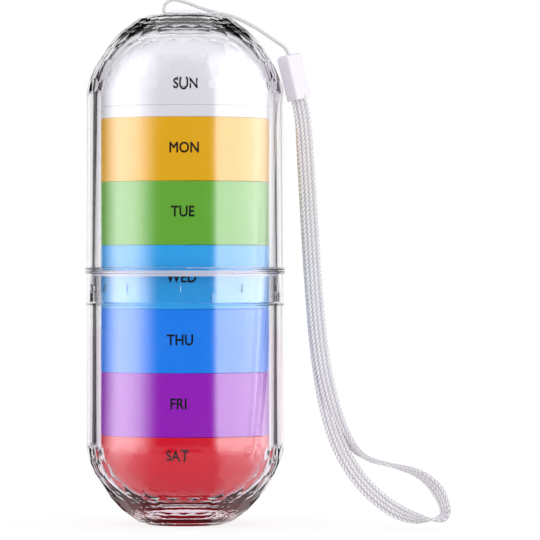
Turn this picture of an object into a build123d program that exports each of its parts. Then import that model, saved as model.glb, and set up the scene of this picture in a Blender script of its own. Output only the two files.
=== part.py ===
from build123d import *
from math import asin, cos, degrees, pi, radians, sin, tan
import os

os.makedirs("parts", exist_ok=True)

# All sizes are in millimetres. The origin is the centre of the flat base, +Z runs up
# the stack, +X is to the right of the front view and +Y points away from the viewer.

# Compartments: a stack of round cups, each one the lid of the cup below it
cup_radius = 25.7
cup_wall = 1.3
cup_floor = 1.2
floor_round = 0.6
cup_pitch = 19.2
seam_round = 0.25
spigot_depth = 2.0
spigot_clearance = 0.1
end_round = 19.4
end_cup_height = 22.3
tray_height = 3.5
collar_height = 2.5
middle_cups = ("friday_cup", "thursday_cup", "wednesday_cup", "tuesday_cup", "monday_cup")

# Clear case: two shells with smooth sides and a faceted dome at each end
dome_height = 24.0
end_flat_radius = 11.5
dome_power = 1.5
flats_around = 24
flat_rows = 6
floor_thickness = 5.1
roof_thickness = 1.8
lid_headroom = 4.0
lower_bore_gap = 1.6
lower_bend_gap = 0.6
upper_bore_gap = 1.3
upper_bend_gap = 3.1

# Closure: a neck with five lugs inside the slotted skirt of the upper shell
shoulder_height = 67.6
neck_height = 8.0
neck_wall = 1.0
lug_count = 5
lug_width = 8.8
lug_height = 2.3
lug_reach = 0.6
lug_corner = 0.5
lug_rise = 3.2
lug_angle = -82.6
lock_turn = 20.0
turn_clearance = 0.25
slot_wall = 0.85
ledge_reach = 0.75
seal_height = 1.75
seal_edge_gap = 0.3
seal_bore_step = 0.1
bead_reach = 0.6
bead_height = 0.8
bead_gap = 0.3
bead_round = 0.32
rim_reach = 0.3
rim_round = 0.27

# Eyelet: a low bridge on the flat top, with a tunnel for the string
eyelet_foot_length = 13.4
eyelet_top_length = 8.0
eyelet_width = 5.0
eyelet_height = 1.7
tunnel_width = 2.4
tunnel_height = 1.4
tunnel_recess = 0.3

# Carrying cord: a string through the eyelet, a ferrule, and a flat wrist strap
string_diameter = 1.1
string_spread = 0.8
strap_width = 5.0
strap_thickness = 1.0
strap_spread = 1.2
ferrule_length = 14.0
ferrule_wide = 6.4
ferrule_deep = 4.6
ferrule_turn = 45.0
ferrule_corner = 0.5
ferrule_round = 1.0
ferrule_reach = 4.8
ferrule_drop = 25.5
ferrule_lean = 13.54
string_first_run = 2.2
strap_first_run = 5.0
arc_share = 0.45

# Places worked out from the sizes above
foot_z = floor_thickness
first_seam_z = foot_z + end_cup_height
tray_z = first_seam_z + cup_pitch * len(middle_cups)
lid_z = tray_z + tray_height
mouth_radius = cup_radius - cup_wall
spigot_radius = mouth_radius - spigot_clearance
lower_bore_radius = cup_radius + lower_bore_gap
lower_bore_round = end_round + lower_bend_gap
upper_bore_radius = cup_radius + upper_bore_gap
upper_bore_round = end_round + upper_bend_gap
neck_radius = lower_bore_radius + neck_wall
skirt_radius = neck_radius + turn_clearance
upper_mouth_radius = skirt_radius - ledge_reach
seal_radius = skirt_radius - seal_edge_gap
seal_bore_radius = lower_bore_radius + seal_bore_step
lug_radius = neck_radius + lug_reach
slot_radius = lug_radius + turn_clearance
case_radius = slot_radius + slot_wall
neck_top_z = shoulder_height + neck_height
ledge_z = neck_top_z + seal_height
lug_base_z = shoulder_height + lug_rise
skirt_end_z = shoulder_height + turn_clearance
roof_z = lid_z + end_cup_height + lid_headroom
case_height = roof_z + roof_thickness
dome_z = case_height - dome_height
ferrule_bottom = Vector(case_radius + ferrule_reach, 0, case_height - ferrule_drop)
ferrule_up = Vector(0, 0, 1).rotate(Axis.Y, -ferrule_lean)


def save(piece, name):
    """Labels a finished piece and writes it as its own file."""
    piece.part.label = name
    export_step(piece.part, f"parts/{name}.step")


def turn_profile(*points):
    """Turns a closed outline of (radius, height) points about the upright axis."""
    with BuildSketch(Plane.XZ) as outline:
        with BuildLine():
            Polyline(*points, close=True)
        make_face()
    revolve(outline.sketch, axis=Axis.Z)


def round_seams(piece):
    """Rounds the outside edges of a cup, which shows as a fine groove at each seam."""
    rims = piece.edges().filter_by(GeomType.CIRCLE)
    fillet(rims.filter_by(lambda e: abs(e.radius - cup_radius) < 0.001), radius=seam_round)


def make_middle_cup(name, base_z):
    """A straight cup whose stepped base plugs the mouth of the cup below."""
    spigot_z = base_z - spigot_depth
    with BuildPart() as cup:
        turn_profile(
            (0, spigot_z),
            (spigot_radius, spigot_z),
            (spigot_radius, base_z),
            (cup_radius, base_z),
            (cup_radius, base_z + cup_pitch),
            (mouth_radius, base_z + cup_pitch),
            (mouth_radius, base_z + cup_floor),
            (mouth_radius - cup_wall, base_z + cup_floor),
            (mouth_radius - cup_wall, spigot_z + cup_floor),
            (0, spigot_z + cup_floor),
        )
        round_seams(cup)
        corner = cup.edges().filter_by(GeomType.CIRCLE).filter_by(
            lambda e: abs(e.radius - mouth_radius + cup_wall) < 0.001
        )
        fillet(corner.sort_by(Axis.Z)[0], radius=floor_round)
    save(cup, name)


def make_end_cup(name, end_z, mouth_z):
    """A dome-ended cup. It opens upwards, or downwards where its mouth is the lower end."""
    up = 1 if mouth_z > end_z else -1
    centre = (cup_radius - end_round, end_z + up * end_round)
    inner_arc_radius = end_round - cup_wall
    quarter = dict(start_angle=-90 * up, arc_size=90 * up)
    with BuildPart() as cup:
        with BuildSketch(Plane.XZ):
            with BuildLine():
                outer = CenterArc(centre, end_round, **quarter)
                inner = CenterArc(centre, inner_arc_radius, **quarter)
                Polyline(outer @ 0, (0, end_z), (0, end_z + up * cup_wall), inner @ 0)
                Polyline(outer @ 1, (cup_radius, mouth_z), (mouth_radius, mouth_z), inner @ 1)
            make_face()
        revolve(axis=Axis.Z)
        round_seams(cup)
    save(cup, name)


# Lowest compartment, with the rounded end that follows the dome of the case
make_end_cup("saturday_cup", foot_z, first_seam_z)

# The five alike compartments above it
for place, cup_name in enumerate(middle_cups):
    make_middle_cup(cup_name, first_seam_z + place * cup_pitch)

# Shallow tray that closes the highest straight cup, with a collar for the domed lid
with BuildPart() as sunday_tray:
    turn_profile(
        (0, tray_z - spigot_depth),
        (spigot_radius, tray_z - spigot_depth),
        (spigot_radius, tray_z),
        (cup_radius, tray_z),
        (cup_radius, lid_z),
        (spigot_radius, lid_z),
        (spigot_radius, lid_z + collar_height),
        (spigot_radius - cup_wall, lid_z + collar_height),
        (spigot_radius - cup_wall, tray_z - spigot_depth + cup_floor),
        (0, tray_z - spigot_depth + cup_floor),
    )
    round_seams(sunday_tray)
save(sunday_tray, "sunday_tray")

# Domed lid of the top compartment
make_end_cup("sunday_lid", lid_z + end_cup_height, lid_z)

# Faceted end of the case, base down: each row of flats is a slightly tapered prism,
# and every second row is turned by half a flat
with BuildPart() as end_dome:
    with BuildSketch():
        Circle(case_radius)
    extrude(amount=dome_height)
    reach = case_radius - end_flat_radius
    for row in range(flat_rows):
        lower_angle, upper_angle = (row + 1) * pi / 2 / flat_rows, row * pi / 2 / flat_rows
        low_r = end_flat_radius + reach * max(cos(lower_angle), 0) ** (2 / dome_power)
        high_r = end_flat_radius + reach * cos(upper_angle) ** (2 / dome_power)
        low_z = dome_height * (1 - sin(lower_angle) ** (2 / dome_power))
        high_z = dome_height * (1 - sin(upper_angle) ** (2 / dome_power))
        slope = (high_r - low_r) / (high_z - low_z)
        half_flat = (row % 2) * 180 / flats_around
        with BuildSketch() as bottom:
            RegularPolygon(low_r - slope * low_z, flats_around, False, rotation=half_flat)
        with BuildSketch(Plane.XY.offset(dome_height)) as top:
            RegularPolygon(
                high_r + slope * (dome_height - high_z), flats_around, False, rotation=half_flat
            )
        loft([bottom.sketch, top.sketch], ruled=True, mode=Mode.INTERSECT)

# The five lugs, cut to their round outside, before they join the neck
with BuildPart() as lugs:
    for place in range(lug_count):
        angle = radians(lug_angle + place * 360 / lug_count)
        outwards = Vector(cos(angle), sin(angle), 0)
        sideways = Vector(-sin(angle), cos(angle), 0)
        middle = Vector(0, 0, lug_base_z + lug_height / 2)
        with BuildSketch(Plane(middle + outwards * lower_bore_radius, sideways, outwards)):
            RectangleRounded(lug_width, lug_height, lug_corner)
        extrude(amount=neck_wall + 2 * lug_reach)
    with BuildSketch(Plane.XY.offset(lug_base_z)):
        Circle(lug_radius)
    extrude(amount=lug_height, mode=Mode.INTERSECT)

# Lower shell: thick clear plastic, with a flat floor that the lowest cup stands on
with BuildPart() as lower_shell:
    add(end_dome.part)
    with BuildSketch(Plane.XY.offset(dome_height)):
        Circle(case_radius)
    extrude(amount=shoulder_height - dome_height)
    with BuildSketch(Plane.XY.offset(shoulder_height - bead_height)):
        Circle(case_radius + rim_reach)
    extrude(amount=bead_height)
    rim = lower_shell.edges().filter_by(GeomType.CIRCLE).filter_by(
        lambda e: abs(e.radius - case_radius - rim_reach) < 0.001
    )
    fillet(rim, radius=rim_round)
    with BuildSketch(Plane.XY.offset(shoulder_height)):
        Circle(neck_radius)
    extrude(amount=neck_height)
    add(lugs.part)
    with BuildSketch(Plane.XZ):
        with BuildLine():
            bend = CenterArc(
                (lower_bore_radius - lower_bore_round, floor_thickness + lower_bore_round),
                lower_bore_round,
                start_angle=-90,
                arc_size=90,
            )
            Polyline(
                bend @ 1,
                (lower_bore_radius, neck_top_z),
                (0, neck_top_z),
                (0, floor_thickness),
                bend @ 0,
            )
        make_face()
    revolve(axis=Axis.Z, mode=Mode.SUBTRACT)
save(lower_shell, "lower_shell")

# Soft sealing ring between the top of the neck and the ledge in the upper shell
with BuildPart() as seal_ring:
    with BuildSketch(Plane.XY.offset(neck_top_z)):
        Circle(seal_radius)
        Circle(seal_bore_radius, mode=Mode.SUBTRACT)
    extrude(amount=seal_height)
save(seal_ring, "seal_ring")

# Upper shell: dome, skirt with its slots, double bead and eyelet bridge
with BuildPart() as upper_shell:
    with Locations(Location((0, 0, case_height), (180, 0, 0))):
        add(end_dome.part)
    with BuildSketch(Plane.XY.offset(skirt_end_z)):
        Circle(case_radius)
    extrude(amount=dome_z - skirt_end_z)
    for bead_z in (ledge_z - bead_gap / 2 - bead_height, ledge_z + bead_gap / 2):
        with BuildSketch(Plane.XY.offset(bead_z)):
            Circle(case_radius + bead_reach)
        extrude(amount=bead_height)
    beads = upper_shell.edges().filter_by(GeomType.CIRCLE).filter_by(
        lambda e: abs(e.radius - case_radius - bead_reach) < 0.001
    )
    fillet(beads, radius=bead_round)
    with BuildSketch(Plane.XZ):
        with BuildLine():
            bend = CenterArc(
                (upper_bore_radius - upper_bore_round, roof_z - upper_bore_round),
                upper_bore_round,
                start_angle=0,
                arc_size=90,
            )
            Polyline(
                bend @ 0,
                (upper_mouth_radius, ledge_z),
                (skirt_radius, ledge_z),
                (skirt_radius, skirt_end_z),
                (0, skirt_end_z),
                (0, roof_z),
                bend @ 1,
            )
        make_face()
    revolve(axis=Axis.Z, mode=Mode.SUBTRACT)
    lug_half_angle = degrees(asin(lug_width / 2 / neck_radius))
    spare_angle = degrees(turn_clearance / neck_radius)
    channel_low = lug_base_z - turn_clearance
    channel_high = lug_base_z + lug_height + turn_clearance
    entry_sweep = 2 * (lug_half_angle + spare_angle)
    for place in range(lug_count):
        start = lug_angle + place * 360 / lug_count - lug_half_angle - spare_angle
        for low, sweep_angle in (
            (skirt_end_z, entry_sweep),
            (channel_low, entry_sweep + lock_turn),
        ):
            with BuildSketch(Plane.XZ.rotated((0, 0, start))):
                with Locations(((neck_radius + slot_radius) / 2, (low + channel_high) / 2)):
                    Rectangle(slot_radius - neck_radius, channel_high - low)
            revolve(axis=Axis.Z, revolution_arc=sweep_angle, mode=Mode.SUBTRACT)
    with BuildSketch(Plane.XZ):
        with BuildLine():
            Polyline(
                (-eyelet_foot_length / 2, case_height),
                (eyelet_foot_length / 2, case_height),
                (eyelet_top_length / 2, case_height + eyelet_height),
                (-eyelet_top_length / 2, case_height + eyelet_height),
                close=True,
            )
        make_face()
    extrude(amount=eyelet_width / 2, both=True)
    with BuildSketch(Plane.XY.offset(case_height - tunnel_recess)):
        Rectangle(eyelet_foot_length + tunnel_width, tunnel_width)
    extrude(amount=tunnel_height, mode=Mode.SUBTRACT)
save(upper_shell, "upper_shell")

# Ferrule: a moulded sleeve on the joined ends of the string and the strap
with BuildPart() as strap_ferrule:
    ferrule_base = Plane(ferrule_bottom, Vector(ferrule_up.Z, 0, -ferrule_up.X), ferrule_up)
    with BuildSketch(ferrule_base):
        RectangleRounded(ferrule_wide, ferrule_deep, ferrule_corner, rotation=ferrule_turn)
    extrude(amount=ferrule_length)
    crown = strap_ferrule.faces().sort_by(Axis(ferrule_bottom, ferrule_up))[-1]
    fillet(crown.edges(), radius=ferrule_round)
save(strap_ferrule, "strap_ferrule")


def cord_path(points):
    """Straight runs joined by arcs as large as the two runs beside each corner allow."""
    runs = [b - a for a, b in zip(points, points[1:])]
    radii = []
    for before, after in zip(runs, runs[1:]):
        half_turn = radians(before.get_angle(after)) / 2
        radii.append(arc_share * min(before.length, after.length) / tan(half_turn))
    with BuildLine() as path:
        FilletPolyline(*points, radius=radii)
    print("radii", [round(r, 1) for r in radii], "length", round(path.wire().length, 1))
    return path.wire()


def report_volume(piece, name, section_area, path):
    """Prints a swept piece's volume beside its section times its length."""
    print(name, "volume", round(piece.part.volume, 2), "of", round(section_area * path.length, 2))


# String: both ends in the ferrule, once through the eyelet and back over its bridge
ferrule_top = ferrule_bottom + ferrule_up * ferrule_length
string_start = ferrule_top - Vector(0, string_spread, 0)
string_end = ferrule_top + Vector(0, string_spread, 0)
string_route = [
    string_start,
    string_start + ferrule_up * string_first_run,
    Vector(26.9, -0.85, 147.8),
    Vector(21.8, -0.9, 151.4),
    Vector(15.8, -0.9, 154.5),
    Vector(10.6, -0.8, 156.0),
    Vector(5.8, -0.2, 155.45),
    Vector(0.8, 0.15, 155.35),
    Vector(-3.6, 0.0, 155.45),
    Vector(-6.5, 0.0, 155.6),
    Vector(-6.6, 0.1, 158.3),
    Vector(-4.2, 0.3, 160.3),
    Vector(0.2, 0.6, 159.3),
    Vector(4.9, 0.9, 157.4),
    Vector(10.0, 1.0, 156.0),
    Vector(15.8, 0.9, 154.5),
    Vector(21.8, 0.9, 151.4),
    Vector(26.9, 0.85, 147.8),
    string_end + ferrule_up * string_first_run,
    string_end,
]
with BuildPart() as hang_string:
    string_path = cord_path(string_route)
    with BuildSketch(Plane(string_start, z_dir=ferrule_up)):
        Circle(string_diameter / 2)
    sweep(path=string_path)
report_volume(hang_string, "string", pi * string_diameter**2 / 4, string_path)
save(hang_string, "hang_string")

# Wrist strap: flat webbing that hangs in two runs and lies in a loop at the floor
strap_start = ferrule_bottom - Vector(0, strap_spread, 0)
strap_end = ferrule_bottom + Vector(0, strap_spread, 0)
strap_route = [
    strap_start,
    strap_start - ferrule_up * strap_first_run,
    Vector(36.8, -2.8, 114.5),
    Vector(38.0, -5.5, 95.5),
    Vector(39.3, -8.5, 73.5),
    Vector(41.2, -11.5, 52.0),
    Vector(44.4, -13.6, 37.0),
    Vector(48.6, -15.6, 26.6),
    Vector(54.6, -17.4, 20.6),
    Vector(62.8, -19.2, 18.8),
    Vector(71.0, -21.2, 16.6),
    Vector(77.0, -23.4, 11.0),
    Vector(79.2, -25.4, 3.0),
    Vector(71.2, -25.6, 2.8),
    Vector(64.4, -24.4, 4.8),
    Vector(58.4, -22.2, 8.8),
    Vector(52.2, -19.4, 15.0),
    Vector(46.6, -16.2, 24.2),
    Vector(42.8, -12.6, 36.6),
    Vector(40.2, -9.4, 53.8),
    Vector(38.6, -6.2, 74.5),
    Vector(37.4, -3.0, 95.0),
    Vector(36.4, -0.4, 114.0),
    strap_end - ferrule_up * strap_first_run,
    strap_end,
]
with BuildPart() as wrist_strap:
    strap_path = cord_path(strap_route)
    with BuildSketch(Plane(strap_start, Vector(ferrule_up.Z, 0, -ferrule_up.X), ferrule_up)):
        Rectangle(strap_width, strap_thickness)
    sweep(path=strap_path)
report_volume(wrist_strap, "strap", strap_width * strap_thickness, strap_path)
save(wrist_strap, "wrist_strap")
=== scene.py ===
# Weekly pill organizer: a capsule-shaped clear container with seven coloured round
# compartments stacked inside it, and a woven wrist strap on a string at the top.
from math import cos, pi, radians, sin, sqrt

import bmesh
import bpy
import numpy as np
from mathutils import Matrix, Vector


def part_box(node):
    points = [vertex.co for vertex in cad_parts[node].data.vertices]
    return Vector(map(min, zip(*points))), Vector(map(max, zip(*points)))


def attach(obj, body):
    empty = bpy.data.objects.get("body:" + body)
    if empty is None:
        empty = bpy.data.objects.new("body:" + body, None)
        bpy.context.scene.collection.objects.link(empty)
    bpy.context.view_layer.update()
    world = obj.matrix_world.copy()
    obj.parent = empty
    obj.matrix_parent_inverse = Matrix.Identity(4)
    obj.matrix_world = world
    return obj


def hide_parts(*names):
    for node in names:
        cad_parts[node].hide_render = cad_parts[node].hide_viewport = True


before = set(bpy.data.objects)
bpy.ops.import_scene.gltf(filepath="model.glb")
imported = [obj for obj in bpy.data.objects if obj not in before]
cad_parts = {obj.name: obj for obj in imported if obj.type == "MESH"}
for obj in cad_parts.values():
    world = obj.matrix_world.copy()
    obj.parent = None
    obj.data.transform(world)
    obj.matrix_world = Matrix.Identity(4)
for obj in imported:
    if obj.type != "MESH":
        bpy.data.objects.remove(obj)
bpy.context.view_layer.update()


# ---- Viewpoint -------------------------------------------------------------------------
# A long lens, level with the middle of the container and a little to its right, as close
# to straight-on as a product picture is taken.
VIEW_DISTANCE = 1.225
VIEW_WIDTH = 0.1648
VIEW_X = 0.0259
VIEW_HEIGHT = 0.0775
NEAREST_SEEN = 0.05

camera_data = bpy.data.cameras.new("camera")
camera = bpy.data.objects.new("camera", camera_data)
camera_data.lens = camera_data.sensor_width * VIEW_DISTANCE / VIEW_WIDTH
camera_data.clip_start = NEAREST_SEEN
camera.location = (VIEW_X, -VIEW_DISTANCE, VIEW_HEIGHT)
camera.rotation_euler = (radians(90), 0, 0)
bpy.context.scene.collection.objects.link(camera)
bpy.context.scene.camera = camera
bpy.context.scene.view_settings.view_transform = "Standard"


# ---- String ----------------------------------------------------------------------------
# A thin white string of 1.1 mm, twisted from three strands of polyester yarn. Both ends
# are moulded into the ferrule. It runs up over the dome, through the eyelet and back over
# the eyelet's bridge.
MM = 0.001
FERRULE_BOTTOM = Vector((34.8, 0, 129.5)) * MM
FERRULE_LEAN = radians(13.54)
FERRULE_LENGTH = 14.0 * MM
ferrule_up = Vector((-sin(FERRULE_LEAN), 0, cos(FERRULE_LEAN)))
ferrule_top = FERRULE_BOTTOM + ferrule_up * FERRULE_LENGTH
string_side = Vector((0, 0.8, 0)) * MM
string_first_run = ferrule_up * 2.2 * MM
string_start = ferrule_top - string_side
string_end = ferrule_top + string_side
string_route = [
    string_start,
    string_start + string_first_run,
    Vector((26.9, -0.85, 147.8)) * MM,
    Vector((21.8, -0.9, 151.4)) * MM,
    Vector((15.8, -0.9, 154.5)) * MM,
    Vector((10.6, -0.8, 156.0)) * MM,
    Vector((5.8, -0.2, 155.45)) * MM,
    Vector((0.8, 0.15, 155.35)) * MM,
    Vector((-3.6, 0.0, 155.45)) * MM,
    Vector((-6.5, 0.0, 155.6)) * MM,
    Vector((-6.6, 0.1, 158.3)) * MM,
    Vector((-4.2, 0.3, 160.3)) * MM,
    Vector((0.2, 0.6, 159.3)) * MM,
    Vector((4.9, 0.9, 157.4)) * MM,
    Vector((10.0, 1.0, 156.0)) * MM,
    Vector((15.8, 0.9, 154.5)) * MM,
    Vector((21.8, 0.9, 151.4)) * MM,
    Vector((26.9, 0.85, 147.8)) * MM,
    string_end + string_first_run,
    string_end,
]


def route_points(name, route):
    """Points along the smooth curve that a cord's route steers, as an open line."""
    data = bpy.data.curves.new(name, "CURVE")
    data.dimensions = "3D"
    data.resolution_u = 12
    spline = data.splines.new("NURBS")
    spline.points.add(len(route) - 1)
    for point, place in zip(spline.points, route):
        point.co = (*place, 1)
    spline.order_u = 3
    spline.use_endpoint_u = True
    line = bpy.data.objects.new(name, data)
    bpy.context.scene.collection.objects.link(line)
    bpy.context.view_layer.update()
    mesh = bpy.data.meshes.new_from_object(line)
    points = [v.co.copy() for v in mesh.vertices]
    bpy.data.objects.remove(line)
    bpy.data.meshes.remove(mesh)
    return points


def put(tree, kind, inputs=(), **settings):
    """Adds a node with its settings, and its inputs as (name or number, value or socket)."""
    node = tree.nodes.new(kind)
    for name, value in settings.items():
        setattr(node, name, value)
    for key, value in inputs:
        if isinstance(value, bpy.types.NodeSocket):
            tree.links.new(value, node.inputs[key])
        else:
            node.inputs[key].default_value = value
    return node


def calc(tree, operation, *values):
    """One Math node on sockets or numbers, and its result."""
    return put(tree, "ShaderNodeMath", enumerate(values), operation=operation).outputs[0]


def vector_calc(tree, operation, *values):
    """One Vector Math node on sockets or vectors, and its vector result."""
    keys = (0, "Scale") if operation == "SCALE" else range(len(values))
    return put(tree, "ShaderNodeVectorMath", zip(keys, values), operation=operation).outputs[0]


def new_tree(name, **sizes):
    """An empty geometry tree with a geometry in and out, and named number inputs."""
    tree = bpy.data.node_groups.new(name, "GeometryNodeTree")
    tree.interface.new_socket("Geometry", in_out="INPUT", socket_type="NodeSocketGeometry")
    tree.interface.new_socket("Geometry", in_out="OUTPUT", socket_type="NodeSocketGeometry")
    for size, value in sizes.items():
        socket = tree.interface.new_socket(size, in_out="INPUT", socket_type="NodeSocketFloat")
        socket.default_value = value
    given = tree.nodes.new("NodeGroupInput").outputs
    return tree, given


def close_tree(tree, parts):
    """Ends a geometry tree with each part made real geometry in its own material."""
    whole = tree.nodes.new("GeometryNodeJoinGeometry")
    for geometry, material in parts:
        real = put(tree, "GeometryNodeRealizeInstances", [("Geometry", geometry)]).outputs[0]
        painted = put(tree, "GeometryNodeSetMaterial", [("Geometry", real), ("Material", material)])
        tree.links.new(painted.outputs[0], whole.inputs[0])
    tree.links.new(whole.outputs[0], tree.nodes.new("NodeGroupOutput").inputs[0])


def grow(name, points, tree, **attributes):
    """Runs a geometry tree on a line of points and keeps the result as a plain mesh."""
    line = bpy.data.meshes.new(name + "_line")
    line.from_pydata(points, [(i, i + 1) for i in range(len(points) - 1)], [])
    for key, values in attributes.items():
        layer = line.attributes.new(key, "FLOAT_VECTOR", "POINT")
        layer.data.foreach_set("vector", np.array(values, np.float32).ravel())
    maker = bpy.data.objects.new(name + "_maker", line)
    bpy.context.scene.collection.objects.link(maker)
    modifier = maker.modifiers.new("make", "NODES")
    modifier.node_group = tree
    bpy.context.view_layer.update()
    seen = maker.evaluated_get(bpy.context.evaluated_depsgraph_get())
    mesh = bpy.data.meshes.new_from_object(seen)
    mesh.name = name
    bpy.data.objects.remove(maker)
    piece = bpy.data.objects.new(name, mesh)
    bpy.context.scene.collection.objects.link(piece)
    for polygon in mesh.polygons:
        polygon.use_smooth = True
    return piece


def noise(tree, place, **settings):
    """A noise pattern on a position, with the values of the node's own sockets."""
    inputs = [("Vector", place), *settings.items()]
    return put(tree, "ShaderNodeTexNoise", inputs).outputs["Fac"]


def shading(tree, pattern, darkest):
    """Turns a noise pattern into a brightness from the darkest share up to 1."""
    limits = {"From Min": 0.3, "From Max": 0.7, "To Min": darkest, "To Max": 1.0}
    return put(tree, "ShaderNodeMapRange", [("Value", pattern), *limits.items()]).outputs[0]


def mix_colour(tree, share, first, second):
    """The first colour where the share is 0, the second where it is 1."""
    inputs = [("Factor", share), (6, (*first, 1)), (7, (*second, 1))]
    return put(tree, "ShaderNodeMix", inputs, data_type="RGBA").outputs[2]


def resample(tree, curve, length):
    """The curve with points an even length apart."""
    inputs = [("Curve", curve), ("Length", length)]
    return put(tree, "GeometryNodeResampleCurve", inputs, mode="LENGTH").outputs[0]


# How dark the painted shade between the fibres is, as a share of the yarn's colour
YARN_PAINTED_SHADE = 0.72


def yarn_material(name, colour, fibre_scale):
    """Bright polyester yarn: fine fibres, with shade painted darker between them, and a soft sheen.
    """
    material = bpy.data.materials.new(name)
    material.use_nodes = True
    tree = material.node_tree
    shader = tree.nodes["Principled BSDF"]
    place = put(tree, "ShaderNodeTexCoord").outputs["Object"]
    fibres = noise(tree, place, Scale=fibre_scale, Detail=3.0, Distortion=0.4)
    painted_shade_colour = [YARN_PAINTED_SHADE * c for c in colour]
    # Painted shade: the yarn is tinted darker where the fibre pattern is low, between the fibres
    tint = mix_colour(tree, shading(tree, fibres, darkest=0.90), painted_shade_colour, colour)
    tree.links.new(tint, shader.inputs["Base Color"])
    relief = [("Height", fibres), ("Strength", 0.25), ("Distance", 0.05 * MM)]
    bump = put(tree, "ShaderNodeBump", relief).outputs[0]
    tree.links.new(bump, shader.inputs["Normal"])
    shader.inputs["Roughness"].default_value = 0.62
    shader.inputs["Sheen Weight"].default_value = 0.25
    return material


# Three twisted strands make the string; their pitch is about three diameters
STRANDS = 3
string_yarn = yarn_material("string_yarn", (0.64, 0.63, 0.65), 4000)
tree, given = new_tree(
    "twisted_string",
    Step=0.25 * MM,
    Pitch=3.2 * MM,
    Lay_radius=0.27 * MM,
    Strand_radius=0.29 * MM,
)
line = put(tree, "GeometryNodeMeshToCurve", [("Mesh", given["Geometry"])]).outputs[0]
even = resample(tree, line, given["Step"])
along = put(tree, "GeometryNodeSplineParameter").outputs["Length"]
normal = put(tree, "GeometryNodeInputNormal").outputs[0]
tangent = put(tree, "GeometryNodeInputTangent").outputs[0]
across = vector_calc(tree, "CROSS_PRODUCT", tangent, normal)
turn = calc(tree, "MULTIPLY", calc(tree, "DIVIDE", along, given["Pitch"]), 2 * pi)
section = put(
    tree, "GeometryNodeCurvePrimitiveCircle", [("Resolution", 8), ("Radius", given["Strand_radius"])]
).outputs[0]
joined = tree.nodes.new("GeometryNodeJoinGeometry")
for strand in range(STRANDS):
    angle = calc(tree, "ADD", turn, strand * 2 * pi / STRANDS)
    along_normal = calc(tree, "MULTIPLY", calc(tree, "COSINE", angle), given["Lay_radius"])
    along_across = calc(tree, "MULTIPLY", calc(tree, "SINE", angle), given["Lay_radius"])
    out_of_line = vector_calc(
        tree,
        "ADD",
        vector_calc(tree, "SCALE", normal, along_normal),
        vector_calc(tree, "SCALE", across, along_across),
    )
    wound = put(tree, "GeometryNodeSetPosition", [("Geometry", even), ("Offset", out_of_line)])
    solid = put(
        tree,
        "GeometryNodeCurveToMesh",
        [("Curve", wound.outputs[0]), ("Profile Curve", section), ("Fill Caps", True)],
    )
    tree.links.new(solid.outputs[0], joined.inputs[0])
close_tree(tree, [(joined.outputs[0], string_yarn)])

string_line = route_points("string_route", string_route)
hang_cord = grow("hang_cord", string_line, tree)
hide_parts("hang_string")
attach(hang_cord, "cover")


# ---- Wrist strap -----------------------------------------------------------------------
# Flat white polyester braid, 5 mm wide and 1 mm thick, with four columns of slanting
# stitches on each face. Both ends are moulded into the ferrule. It hangs in two runs and
# turns over in a loop that rests at the floor.
STRAP_WIDTH = 5.0 * MM
strap_side = Vector((0, 1.2, 0)) * MM
strap_first_run = ferrule_up * 5.0 * MM
strap_start = FERRULE_BOTTOM - strap_side
strap_end = FERRULE_BOTTOM + strap_side
# Each point of the route, and how far the strap's face is turned from the front there
strap_places = [
    (strap_start, 0),
    (strap_start - strap_first_run, 0),
    (Vector((36.8, -2.8, 114.5)) * MM, 4),
    (Vector((38.0, -5.5, 95.5)) * MM, 8),
    (Vector((39.3, -8.5, 73.5)) * MM, 8),
    (Vector((41.2, -11.5, 52.0)) * MM, 6),
    (Vector((44.4, -13.6, 37.0)) * MM, 10),
    (Vector((48.6, -15.6, 26.6)) * MM, 45),
    (Vector((54.6, -17.4, 20.6)) * MM, 75),
    (Vector((62.8, -19.2, 18.8)) * MM, 80),
    (Vector((71.0, -21.2, 16.6)) * MM, 62),
    (Vector((77.0, -23.4, 11.0)) * MM, 40),
    (Vector((79.2, -25.4, 3.0)) * MM, 60),
    (Vector((71.2, -25.6, 2.8)) * MM, 130),
    (Vector((64.4, -24.4, 4.8)) * MM, 165),
    (Vector((58.4, -22.2, 8.8)) * MM, 172),
    (Vector((52.2, -19.4, 15.0)) * MM, 176),
    (Vector((46.6, -16.2, 24.2)) * MM, 180),
    (Vector((42.8, -12.6, 36.6)) * MM, 180),
    (Vector((40.2, -9.4, 53.8)) * MM, 180),
    (Vector((38.6, -6.2, 74.5)) * MM, 180),
    (Vector((37.4, -3.0, 95.0)) * MM, 180),
    (Vector((36.4, -0.4, 114.0)) * MM, 180),
    (strap_end - strap_first_run, 180),
    (strap_end, 180),
]


def face_directions(points, places):
    """The strap's face direction at each point of its line, turned as the route says."""
    steered, turns = [p for p, _ in places], [t for _, t in places]
    lengths = np.cumsum([0] + [(b - a).length for a, b in zip(steered, steered[1:])])
    done = np.cumsum([0] + [(b - a).length for a, b in zip(points, points[1:])])
    angles = np.radians(np.interp(done / done[-1], lengths / lengths[-1], turns))
    faces = []
    for i, angle in enumerate(angles):
        along = (points[min(i + 1, len(points) - 1)] - points[max(i - 1, 0)]).normalized()
        front = Vector((0, -1, 0))
        front = (front - along * front.dot(along)).normalized()
        faces.append(front * cos(angle) + along.cross(front) * sin(angle))
    return faces


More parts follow.
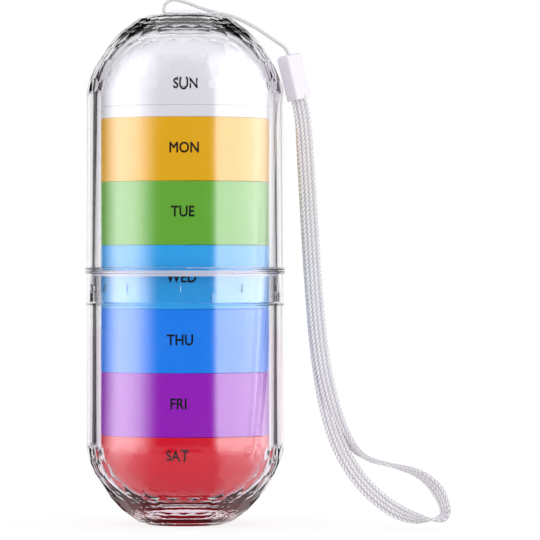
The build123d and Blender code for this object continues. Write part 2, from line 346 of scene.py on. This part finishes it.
strap_yarn = yarn_material("strap_yarn", (0.76, 0.75, 0.77), 5000)
# The core's yarn is painted darker than the white stitches, as shade in the gaps between them
strap_core_painted_shade = yarn_material("strap_core_painted_shade", (0.50, 0.47, 0.53), 3000)
tree, given = new_tree(
    "braided_strap",
    Width=STRAP_WIDTH,
    Core_thickness=0.62 * MM,
    Step=0.8 * MM,
    Stitch_pitch=1.35 * MM,
    Stitch_length=1.9 * MM,
    Stitch_width=0.86 * MM,
    Stitch_height=0.5 * MM,
    Slant=0.5,
)
line = put(tree, "GeometryNodeMeshToCurve", [("Mesh", given["Geometry"])]).outputs[0]
facing = put(
    tree, "GeometryNodeInputNamedAttribute", [("Name", "facing")], data_type="FLOAT_VECTOR"
).outputs[0]
tangent = put(tree, "GeometryNodeInputTangent").outputs[0]
sideways = vector_calc(tree, "NORMALIZE", vector_calc(tree, "CROSS_PRODUCT", tangent, facing))

# The core that the stitches lie on, a little narrower than the strap. Its yarn is painted a darker
# grey-lavender, as shade between the stitches.
CORE_WIDTH_SHARE = 0.9
core_line = resample(tree, line, given["Step"])
steered = put(
    tree, "GeometryNodeSetCurveNormal", [("Curve", core_line), ("Normal", facing)], mode="FREE"
)
core_section = put(
    tree,
    "GeometryNodeCurvePrimitiveQuadrilateral",
    [
        ("Width", given["Core_thickness"]),
        ("Height", calc(tree, "MULTIPLY", given["Width"], CORE_WIDTH_SHARE)),
    ],
)
core = put(
    tree,
    "GeometryNodeCurveToMesh",
    [("Curve", steered.outputs[0]), ("Profile Curve", core_section.outputs[0]), ("Fill Caps", True)],
)

# Four columns of stitches on each face, all slanting the same way. The middle of a stitch
# stands off the middle of the core by a share of the core's thickness.
STITCH_COLUMNS = 4
STITCH_SEAT = 0.36
stitch_line = resample(tree, line, given["Stitch_pitch"])
joined = tree.nodes.new("GeometryNodeJoinGeometry")
stitch = put(
    tree, "GeometryNodeMeshUVSphere", [("Segments", 8), ("Rings", 5), ("Radius", 0.5)]
).outputs[0]
stitch_size = put(
    tree,
    "ShaderNodeCombineXYZ",
    [("X", given["Stitch_width"]), ("Y", given["Stitch_height"]), ("Z", given["Stitch_length"])],
).outputs[0]
sized = put(tree, "GeometryNodeTransform", [("Geometry", stitch), ("Scale", stitch_size)]).outputs[0]
for face in (1, -1):
    for column in range(STITCH_COLUMNS):
        share = (column - (STITCH_COLUMNS - 1) / 2) / STITCH_COLUMNS
        aside = calc(tree, "MULTIPLY", given["Width"], share)
        proud = calc(tree, "MULTIPLY", given["Core_thickness"], STITCH_SEAT * face)
        off = vector_calc(
            tree,
            "ADD",
            vector_calc(tree, "SCALE", sideways, aside),
            vector_calc(tree, "SCALE", facing, proud),
        )
        rows = put(tree, "GeometryNodeSetPosition", [("Geometry", stitch_line), ("Offset", off)])
        heading = vector_calc(
            tree,
            "ADD",
            tangent,
            vector_calc(tree, "SCALE", sideways, calc(tree, "MULTIPLY", given["Slant"], face)),
        )
        upright = put(
            tree, "FunctionNodeAlignRotationToVector", [("Vector", heading)], axis="Z"
        ).outputs[0]
        flat = put(
            tree,
            "FunctionNodeAlignRotationToVector",
            [("Rotation", upright), ("Vector", facing)],
            axis="Y",
            pivot_axis="Z",
        ).outputs[0]
        laid = put(
            tree,
            "GeometryNodeInstanceOnPoints",
            [("Points", rows.outputs[0]), ("Instance", sized), ("Rotation", flat)],
        )
        tree.links.new(laid.outputs[0], joined.inputs[0])
close_tree(tree, [(core.outputs[0], strap_core_painted_shade), (joined.outputs[0], strap_yarn)])

strap_line = route_points("strap_route", [place for place, _ in strap_places])
woven_strap = grow(
    "woven_strap", strap_line, tree, facing=face_directions(strap_line, strap_places)
)
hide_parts("wrist_strap")
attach(woven_strap, "cover")


# ---- Studio ----------------------------------------------------------------------------
# A white table and backdrop, with a wide soft light at each side and one overhead. The
# room between them is dark, and clear plastic shows it as dark lines at its edges. Matt
# surfaces get one even light instead.
BACKDROP_HALF_ANGLE = radians(33)
BACKDROP_EDGE = radians(2)
LEFT_LIGHT = (radians(49), radians(101))
LEFT_LIGHT_EDGES = (radians(20), radians(16))
RIGHT_LIGHT = (radians(38), radians(118))
RIGHT_LIGHT_EDGES = (radians(4), radians(12))
# Heights in the studio, as the sine of the rise from level
LIGHTS_TOP = (0.7, 0.9)
BACKDROP_TOP = (0.35, 0.5)
OVERHEAD_LIGHT = (0.80, 0.86)
LIGHT_STRENGTH = 3.6
EVEN_LIGHT = 1.28
ROOM_STRENGTH = 0.035


def ramp(tree, value, start, end):
    """0 before start and 1 after end, with a smooth way between."""
    node = put(tree, "ShaderNodeMapRange", interpolation_type="SMOOTHSTEP")
    tree.links.new(value, node.inputs["Value"])
    node.inputs["From Min"].default_value = start
    node.inputs["From Max"].default_value = end
    return node.outputs[0]


def fade(tree, value, start, end):
    """1 before start and 0 after end, with a smooth way between."""
    return calc(tree, "SUBTRACT", 1.0, ramp(tree, value, start, end))


def band(tree, value, start, end, soft_start, soft_end):
    """1 between start and end, with soft edges."""
    return calc(
        tree,
        "MULTIPLY",
        ramp(tree, value, start - soft_start, start + soft_start),
        fade(tree, value, end - soft_end, end + soft_end),
    )


def studio_pattern(tree, place):
    """How bright the studio is in a direction: lights at the sides, backdrop behind."""
    axes = put(tree, "ShaderNodeSeparateXYZ", [(0, place)]).outputs
    turned = calc(tree, "ARCTAN2", axes["X"], calc(tree, "MULTIPLY", axes["Y"], -1.0))
    left = calc(tree, "MULTIPLY", turned, -1.0)
    edge = pi - BACKDROP_HALF_ANGLE
    backdrop = ramp(tree, calc(tree, "ABSOLUTE", turned), edge - BACKDROP_EDGE, edge + BACKDROP_EDGE)
    lights = calc(
        tree,
        "ADD",
        band(tree, left, *LEFT_LIGHT, *LEFT_LIGHT_EDGES),
        band(tree, turned, *RIGHT_LIGHT, *RIGHT_LIGHT_EDGES),
    )
    return lights, backdrop


def mix_number(tree, share, first, second):
    """The first number where the share is 0, the second where it is 1."""
    inputs = [("Factor", share), (2, first), (3, second)]
    return put(tree, "ShaderNodeMix", inputs, data_type="FLOAT").outputs[0]


world = bpy.data.worlds.new("studio")
bpy.context.scene.world = world
world.use_nodes = True
# Samples of the world itself aren't told apart as matt or mirrored, so none are taken
world.cycles.sampling_method = "NONE"
tree = world.node_tree
view = put(tree, "ShaderNodeTexCoord").outputs["Generated"]
lights, backdrop = studio_pattern(tree, view)
rise = put(tree, "ShaderNodeSeparateXYZ", [(0, view)]).outputs["Z"]
lights = calc(tree, "MULTIPLY", lights, fade(tree, rise, *LIGHTS_TOP))
backdrop = calc(tree, "MULTIPLY", backdrop, fade(tree, rise, *BACKDROP_TOP))
above = ramp(tree, rise, *OVERHEAD_LIGHT)
side_lights = calc(tree, "MULTIPLY", lights, LIGHT_STRENGTH)
sources = calc(tree, "ADD", side_lights, calc(tree, "ADD", backdrop, above))
mirrored = calc(tree, "ADD", sources, ROOM_STRENGTH)
rays = put(tree, "ShaderNodeLightPath").outputs
matt_or_mirrored = mix_number(tree, rays["Is Diffuse Ray"], mirrored, EVEN_LIGHT)
strength = mix_number(tree, rays["Is Camera Ray"], matt_or_mirrored, 1.0)
background = tree.nodes["Background"]
tree.links.new(strength, background.inputs["Strength"])
background.inputs["Color"].default_value = (1, 1, 1, 1)

TABLE_RADIUS = 4.0
TABLE_GAP = 0.05 * MM
TABLE_WHITE = (0.88, 0.88, 0.88, 1)
SHADOW_RADIUS = 0.16
SHADOW_CORE = 0.3
CONTACT_SHADE = 0.2
# In metres from the container: the stretch over which the side lights grow to full on the
# table, and the one over which its white fades. Rays bent fewer times than BENDS_SEEN see
# that white, in a faint tint.
LIGHTS_REACH = (-0.12, 0.4)
WHITE_REACH = (0.1, 0.35)
BENDS_SEEN = 3.0
BENT_WHITE = 0.95
BENT_TINT = (1.0, 0.91, 0.98)
table_data = bpy.data.meshes.new("table_top")
shape = bmesh.new()
bmesh.ops.create_circle(shape, cap_ends=True, segments=96, radius=TABLE_RADIUS)
bmesh.ops.translate(shape, verts=shape.verts, vec=(0, 0, -TABLE_GAP))
shape.to_mesh(table_data)
shape.free()
table_top = bpy.data.objects.new("table_top", table_data)
bpy.context.scene.collection.objects.link(table_top)
white_table = bpy.data.materials.new("white_table")
white_table.use_nodes = True
tree = white_table.node_tree
tree.nodes.clear()
place = put(tree, "ShaderNodeTexCoord").outputs["Object"]
reach = put(tree, "ShaderNodeVectorMath", [(0, place)], operation="LENGTH").outputs["Value"]
near = fade(tree, reach, SHADOW_RADIUS * SHADOW_CORE, SHADOW_RADIUS)
rays = put(tree, "ShaderNodeLightPath").outputs
mirrored_or_bent = calc(tree, "MAXIMUM", rays["Is Glossy Ray"], rays["Is Transmission Ray"])
other = calc(tree, "SUBTRACT", 1.0, calc(tree, "MAXIMUM", rays["Is Camera Ray"], mirrored_or_bent))
contact = calc(tree, "MULTIPLY", calc(tree, "MULTIPLY", near, CONTACT_SHADE), rays["Is Camera Ray"])
lit_share = calc(tree, "MAXIMUM", contact, other)
lights, backdrop = studio_pattern(tree, place)
side_lights = calc(tree, "MULTIPLY", lights, LIGHT_STRENGTH)
far_lights = calc(tree, "MULTIPLY", side_lights, ramp(tree, reach, *LIGHTS_REACH))
pattern = calc(tree, "ADD", calc(tree, "ADD", far_lights, backdrop), ROOM_STRENGTH)
around = fade(tree, reach, *WHITE_REACH)
few_bends = calc(tree, "LESS_THAN", rays["Transmission Depth"], BENDS_SEEN)
first_seen = calc(tree, "MULTIPLY", rays["Is Transmission Ray"], few_bends)
below = calc(tree, "MULTIPLY", calc(tree, "MULTIPLY", first_seen, around), BENT_WHITE)
brightest = calc(tree, "MAXIMUM", pattern, below)
glow = mix_number(tree, rays["Is Camera Ray"], brightest, 1.0)
lit = put(tree, "ShaderNodeBsdfDiffuse", [("Color", TABLE_WHITE)]).outputs[0]
hue = mix_colour(tree, rays["Is Transmission Ray"], (1, 1, 1), BENT_TINT)
white = put(tree, "ShaderNodeEmission", [("Color", hue), ("Strength", glow)]).outputs[0]
mixed = put(tree, "ShaderNodeMixShader", [(0, lit_share), (1, white), (2, lit)]).outputs[0]
put(tree, "ShaderNodeOutputMaterial", [("Surface", mixed)])
table_data.materials.append(white_table)


# ---- Compartments ----------------------------------------------------------------------
# Injection-moulded polypropylene in seven colours, satin and slightly wavy from the
# mould. Each cup is pushed into the mouth of the cup below it.
# How strong a smear is where marks begin and where they are full, the share of the grain
# in the relief, and how bright a fully marked spot would be
MARKS_SHOW = (0.5, 0.72)
GRAIN_SHARE = 0.04
MARKED_SHADE = 0.5


def moulded_surface():
    """Node group: the faint waves, grain and handling marks of a moulded plastic wall."""
    group = bpy.data.node_groups.new("moulded_surface", "ShaderNodeTree")
    for name, value in (("Roughness", 0.2), ("Marks", 0.1), ("Wave", 0.1)):
        socket = group.interface.new_socket(name, in_out="INPUT", socket_type="NodeSocketFloat")
        socket.default_value = value
    group.interface.new_socket("Roughness", in_out="OUTPUT", socket_type="NodeSocketFloat")
    group.interface.new_socket("Shade", in_out="OUTPUT", socket_type="NodeSocketFloat")
    group.interface.new_socket("Normal", in_out="OUTPUT", socket_type="NodeSocketVector")
    given = group.nodes.new("NodeGroupInput").outputs
    place = put(group, "ShaderNodeTexCoord").outputs["Object"]
    waves = noise(group, place, Scale=90.0, Detail=1.0)
    grain = noise(group, place, Scale=2600.0, Detail=2.0)
    smears = noise(group, place, Scale=120.0, Detail=4.0, Distortion=0.3)
    marked = calc(group, "MULTIPLY", ramp(group, smears, *MARKS_SHOW), given["Marks"])
    roughness = calc(group, "ADD", given["Roughness"], marked)
    shade = shading(group, smears, darkest=0.96)
    height = calc(group, "ADD", waves, calc(group, "MULTIPLY", grain, GRAIN_SHARE))
    bump = put(
        group,
        "ShaderNodeBump",
        [("Height", height), ("Strength", given["Wave"]), ("Distance", 0.5 * MM)],
    ).outputs[0]
    out = group.nodes.new("NodeGroupOutput")
    for socket, value in zip(out.inputs, (roughness, shade, bump)):
        group.links.new(value, socket)
    return group


surface_group = moulded_surface()


def place_group(tree, group, **values):
    """Puts a shader node group into a material and sets its inputs."""
    node = tree.nodes.new("ShaderNodeGroup")
    node.node_tree = group
    for name, value in values.items():
        node.inputs[name].default_value = value
    return node.outputs


def cup_plastic(name, colour):
    """Opaque coloured plastic with a satin gloss."""
    material = bpy.data.materials.new(name)
    material.use_nodes = True
    tree = material.node_tree
    shader = tree.nodes["Principled BSDF"]
    surface = place_group(tree, surface_group, Roughness=0.18, Marks=0.08, Wave=0.06)
    marked_colour = [MARKED_SHADE * c for c in colour]
    tint = mix_colour(tree, surface["Shade"], marked_colour, colour)
    tree.links.new(tint, shader.inputs["Base Color"])
    tree.links.new(surface["Roughness"], shader.inputs["Roughness"])
    tree.links.new(surface["Normal"], shader.inputs["Normal"])
    shader.inputs["IOR"].default_value = 1.5
    return material


def paint(node, material):
    """Gives a carried-over piece its material."""
    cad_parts[node].data.materials.clear()
    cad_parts[node].data.materials.append(material)


white_plastic = cup_plastic("white_plastic", (0.70, 0.695, 0.73))
cup_colours = {
    "monday_cup": (0.75, 0.39, 0.002),
    "tuesday_cup": (0.125, 0.39, 0.032),
    "wednesday_cup": (0.022, 0.345, 0.78),
    "thursday_cup": (0.004, 0.20, 0.83),
    "friday_cup": (0.285, 0.006, 0.46),
    "saturday_cup": (0.66, 0.002, 0.018),
}
paint("sunday_lid", white_plastic)
paint("sunday_tray", white_plastic)
for cup, colour in cup_colours.items():
    paint(cup, cup_plastic(cup.replace("_cup", "_plastic"), colour))


# ---- Weekday names ---------------------------------------------------------------------
# Short weekday names in black ink, pad-printed on the front of each compartment in a
# plain sans letter, 3.3 mm high.
CUP_RADIUS = 25.7 * MM
END_ROUND = 19.4 * MM
CAPITAL_HEIGHT = 3.3 * MM
INK_HEIGHT = 0.05 * MM
LETTER_BOLDNESS = 0.02
LETTER_NARROWING = 0.84
LETTER_SPACING = 1.02
INK_GRAIN = (0.35, 0.75)
# A name is cut upright into slices, so that it bends round the wall; both are in mm
NAME_HALF_WIDTH = 5
SLICE_WIDTH = 0.5
# Where each name faces, in degrees from the front, from the top name down
FIRST_NAME_TURN = 1.5
NAME_TURN_STEP = -0.92
weekday_names = [
    ("SUN", "sunday_lid", 133.1),
    ("MON", "monday_cup", 114.2),
    ("TUE", "tuesday_cup", 95.1),
    ("WED", "wednesday_cup", 75.4),
    ("THU", "thursday_cup", 56.6),
    ("FRI", "friday_cup", 37.5),
    ("SAT", "saturday_cup", 22.2),
]
black_ink = bpy.data.materials.new("black_ink")
black_ink.use_nodes = True
tree = black_ink.node_tree
place = put(tree, "ShaderNodeTexCoord").outputs["Object"]
grains = noise(tree, place, Scale=3500.0, Detail=2.0)
thin_ink = ramp(tree, grains, *INK_GRAIN)
ink_tint = mix_colour(tree, thin_ink, (0.003, 0.003, 0.004), (0.012, 0.012, 0.014))
shader = tree.nodes["Principled BSDF"]
tree.links.new(ink_tint, shader.inputs["Base Color"])
shader.inputs["Roughness"].default_value = 0.6
shader.inputs["Specular IOR Level"].default_value = 0.2

# Where the two end compartments start to round, and which way they round from there
rounded_ends = {
    "saturday_cup": (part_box("saturday_cup")[0].z + END_ROUND, -1),
    "sunday_lid": (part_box("sunday_lid")[1].z - END_ROUND, 1),
}


def wall_radius(node, height):
    """Outside radius of a compartment at a height."""
    if node not in rounded_ends:
        return CUP_RADIUS
    rounded_from, way = rounded_ends[node]
    past = max((height - rounded_from) * way, 0)
    return CUP_RADIUS - END_ROUND + sqrt(END_ROUND**2 - past**2)


def print_name(text, node, height, turn):
    """One weekday name as a thin layer of ink that follows the wall it is printed on."""
    letters = bpy.data.curves.new(text, "FONT")
    letters.body = text
    letters.resolution_u = 5
    letters.bevel_depth = LETTER_BOLDNESS
    letters.bevel_resolution = 0
    letters.space_character = LETTER_SPACING
    letters.extrude = 0.1
    flat = bpy.data.objects.new(text, letters)
    bpy.context.scene.collection.objects.link(flat)
    bpy.context.view_layer.update()
    mesh = bpy.data.meshes.new_from_object(flat)
    bpy.data.objects.remove(flat)
    shape = bmesh.new()
    shape.from_mesh(mesh)
    bmesh.ops.remove_doubles(shape, verts=shape.verts, dist=1e-4)
    xs, ys = [v.co.x for v in shape.verts], [v.co.y for v in shape.verts]
    size = CAPITAL_HEIGHT / (max(ys) - min(ys))
    for v in shape.verts:
        v.co.x = (v.co.x - (max(xs) + min(xs)) / 2) * size * LETTER_NARROWING
        v.co.y = height + (v.co.y - (max(ys) + min(ys)) / 2) * size
    for cut in np.arange(-NAME_HALF_WIDTH, NAME_HALF_WIDTH, SLICE_WIDTH):
        everything = [*shape.verts, *shape.edges, *shape.faces]
        bmesh.ops.bisect_plane(
            shape, geom=everything, plane_co=(cut * MM, 0, 0), plane_no=(1, 0, 0)
        )
    for v in shape.verts:
        radius = wall_radius(node, v.co.y)
        angle = radians(turn) + v.co.x / radius
        radius += INK_HEIGHT if v.co.z > 0 else -INK_HEIGHT
        v.co = Vector((radius * sin(angle), -radius * cos(angle), v.co.y))
    bmesh.ops.recalc_face_normals(shape, faces=shape.faces)
    shape.to_mesh(mesh)
    shape.free()
    mesh.materials.clear()
    mesh.materials.append(black_ink)
    printed = bpy.data.objects.new("name_" + text.lower(), mesh)
    bpy.context.scene.collection.objects.link(printed)
    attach(printed, node)


for number, (text, node, height) in enumerate(weekday_names):
    print_name(text, node, height * MM, FIRST_NAME_TURN + number * NAME_TURN_STEP)


# ---- Sealing ring ----------------------------------------------------------------------
# Soft milky silicone, squeezed between the neck and the ledge inside the upper shell. It
# is one moulded ring, and it stays in the cover when that comes off.
milky_silicone = bpy.data.materials.new("milky_silicone")
milky_silicone.use_nodes = True
tree = milky_silicone.node_tree
shader = tree.nodes["Principled BSDF"]
surface = place_group(tree, surface_group, Roughness=0.35, Marks=0.1, Wave=0.2)
tree.links.new(surface["Normal"], shader.inputs["Normal"])
tree.links.new(surface["Roughness"], shader.inputs["Roughness"])
shader.inputs["Base Color"].default_value = (0.80, 0.79, 0.88, 1)
shader.inputs["Transmission Weight"].default_value = 0.45
shader.inputs["IOR"].default_value = 1.41
paint("seal_ring", milky_silicone)


# ---- Clear shells ----------------------------------------------------------------------
# Thick crystal-clear styrene, with smooth polished sides and domes that are cut like a
# gem. The skirt of the upper shell turns on the neck of the lower one.
BEND_CENTRE = (7.3 * MM, 25.1 * MM)
BEND_RADIUS = 20.0 * MM
WETTED_HEIGHT = 10 * MM
WETTED_CORE = 0.25
SURFACE_SLACK = 0.4 * MM


def distance(tree, one, other):
    """How long a line is that reaches so far along two axes."""
    squares = calc(tree, "ADD", calc(tree, "POWER", one, 2), calc(tree, "POWER", other, 2))
    return calc(tree, "SQRT", squares)


def clear_styrene(name, wetted):
    """Clear plastic. The wetted share of its floor shows what rests on it unmirrored."""
    material = bpy.data.materials.new(name)
    material.use_nodes = True
    tree = material.node_tree
    shader = tree.nodes["Principled BSDF"]
    surface = place_group(tree, surface_group, Roughness=0.0, Marks=0.03, Wave=0.02)
    tree.links.new(surface["Normal"], shader.inputs["Normal"])
    tree.links.new(surface["Roughness"], shader.inputs["Roughness"])
    shader.inputs["Base Color"].default_value = (0.98, 0.978, 0.995, 1)
    shader.inputs["Transmission Weight"].default_value = 1.0
    shader.inputs["IOR"].default_value = 1.49
    rays = put(tree, "ShaderNodeLightPath").outputs
    passes = calc(tree, "MAXIMUM", rays["Is Shadow Ray"], rays["Is Diffuse Ray"])
    if wetted:
        place = put(tree, "ShaderNodeTexCoord").outputs["Object"]
        axes = put(tree, "ShaderNodeSeparateXYZ", [(0, place)]).outputs
        out = distance(tree, axes["X"], axes["Y"])
        past = calc(tree, "MAXIMUM", calc(tree, "SUBTRACT", out, BEND_CENTRE[0]), 0.0)
        down = calc(tree, "SUBTRACT", axes["Z"], BEND_CENTRE[1])
        inside = calc(tree, "LESS_THAN", distance(tree, past, down), BEND_RADIUS + SURFACE_SLACK)
        low_down = fade(tree, axes["Z"], WETTED_HEIGHT * WETTED_CORE, WETTED_HEIGHT)
        floor = calc(tree, "MULTIPLY", calc(tree, "MULTIPLY", inside, low_down), wetted)
        passes = calc(tree, "MAXIMUM", passes, floor)
    open_way = put(tree, "ShaderNodeBsdfTransparent", [("Color", (0.97, 0.97, 0.98, 1))]).outputs[0]
    both = put(
        tree, "ShaderNodeMixShader", [(0, passes), (1, shader.outputs[0]), (2, open_way)]
    ).outputs[0]
    tree.links.new(both, tree.nodes["Material Output"].inputs["Surface"])
    return material


paint("lower_shell", clear_styrene("clear_base_plastic", 0.25))
paint("upper_shell", clear_styrene("clear_cover_plastic", 0))


# ---- Ferrule ---------------------------------------------------------------------------
# A small sleeve of satin white plastic. It is moulded over the joined ends of the string
# above it and of the strap below it.
paint("strap_ferrule", cup_plastic("ferrule_plastic", (0.70, 0.66, 0.73)))
